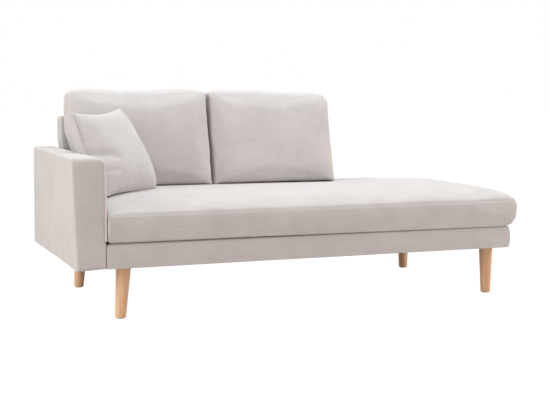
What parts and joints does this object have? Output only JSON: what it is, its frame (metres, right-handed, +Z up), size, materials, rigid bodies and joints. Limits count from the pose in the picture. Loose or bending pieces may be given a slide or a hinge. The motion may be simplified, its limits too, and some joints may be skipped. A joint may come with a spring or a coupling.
{
  "type": "meridienne",
  "caption": "Upholstered meridienne with an arm at its left, a back over part of its length, a long seat cushion, loose back cushions, a throw pillow and tapered wooden legs.",
  "frame": {"origin": "on the floor, under the middle of the sofa's overall length and depth", "axes": "+X along the sofa's length, from the arm to the open foot end; +Y from front to back; +Z up"},
  "size_m": [1.898, 0.911, 0.8559],
  "materials": {
    "cover_fabric": "matte",
    "leg_wood": "satin",
    "frame_timber": "matte",
    "hardboard": "matte",
    "foam": "matte",
    "wadding": "matte",
    "felt": "matte",
    "webbing": "matte",
    "dust_cloth": "matte",
    "plated_steel": "satin",
    "nylon": "matte",
    "zip_tape": "matte"
  },
  "bodies": {
    "frame": {"base_front_rail": "frame_timber", "base_rear_rail": "frame_timber", "base_left_rail": "frame_timber", "base_right_rail": "frame_timber", "base_cross_rails": "frame_timber", "corner_blocks": "frame_timber", "seat_webbing": "webbing", "deck_felt": "felt", "base_wadding": "wadding", "base_cover": "cover_fabric", "dust_cover": "dust_cloth", "leg_plates": "plated_steel", "leg_plate_screws": "plated_steel", "leg_studs": "plated_steel", "leg_front_left": "leg_wood", "leg_front_right": "leg_wood", "leg_rear_left": "leg_wood", "leg_rear_right": "leg_wood", "leg_glides": "nylon", "arm_front_post": "frame_timber", "arm_centre_post": "frame_timber", "arm_rear_post": "frame_timber", "arm_top_rail": "frame_timber", "arm_bottom_rails": "frame_timber", "arm_inner_board": "hardboard", "arm_outer_board": "hardboard", "arm_foam": "foam", "arm_cover": "cover_fabric", "arm_bolts": "plated_steel", "arm_tee_nuts": "plated_steel", "back_left_post": "frame_timber", "back_centre_post": "frame_timber", "back_right_post": "frame_timber", "back_top_rail": "frame_timber", "back_rear_board": "hardboard", "back_webbing": "webbing", "back_foam": "foam", "back_cover": "cover_fabric", "back_bolts": "plated_steel", "back_tee_nuts": "plated_steel"},
    "seat_cushion": {"seat_cushion_cover": "cover_fabric", "seat_cushion_foam": "foam", "seat_cushion_zip": "zip_tape"},
    "left_cushion": {"left_cushion_cover": "cover_fabric", "left_cushion_filling": "wadding", "left_cushion_zip": "zip_tape"},
    "right_cushion": {"right_cushion_cover": "cover_fabric", "right_cushion_filling": "wadding", "right_cushion_zip": "zip_tape"},
    "throw_pillow": {"throw_pillow_cover": "cover_fabric", "throw_pillow_filling": "wadding", "throw_pillow_zip": "zip_tape"}
  },
  "joints": [
    {"name": "seat_cushion_lift", "type": "slide", "parent": "frame", "child": "seat_cushion", "axis": [0, 0, 1], "range_m": [0, 0.46]},
    {"name": "left_cushion_lift", "type": "slide", "parent": "seat_cushion", "child": "left_cushion", "axis": [0, 0, 1], "range_m": [0, 0.3]},
    {"name": "right_cushion_lift", "type": "slide", "parent": "seat_cushion", "child": "right_cushion", "axis": [0, 0, 1], "range_m": [0, 0.3]},
    {"name": "throw_pillow_lift", "type": "slide", "parent": "left_cushion", "child": "throw_pillow", "axis": [0, 0, 1], "range_m": [0, 0.3]}
  ]
}
